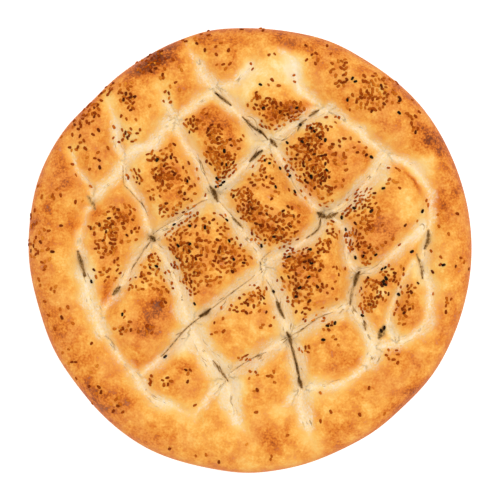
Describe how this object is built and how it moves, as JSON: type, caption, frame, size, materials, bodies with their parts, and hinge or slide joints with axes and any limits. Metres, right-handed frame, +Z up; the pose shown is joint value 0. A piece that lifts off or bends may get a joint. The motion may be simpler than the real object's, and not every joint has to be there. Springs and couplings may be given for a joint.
{
  "type": "pide",
  "caption": "Round Ramazan pide flatbread with a thick rim, finger-pressed diamond pillows, and sesame and nigella seeds baked onto it.",
  "frame": {"origin": "middle of the flat underside", "axes": "+Z up through the crust; +Y towards the top of the loaf as seen from above, +X to its right"},
  "size_m": [0.2998, 0.3007, 0.0308],
  "materials": {
    "crust": "baked wheat crust, golden on the pillows and cream in the grooves, matte with a faint sheen"
  },
  "bodies": {
    "root": {"pide": "crust"}
  },
  "joints": []
}
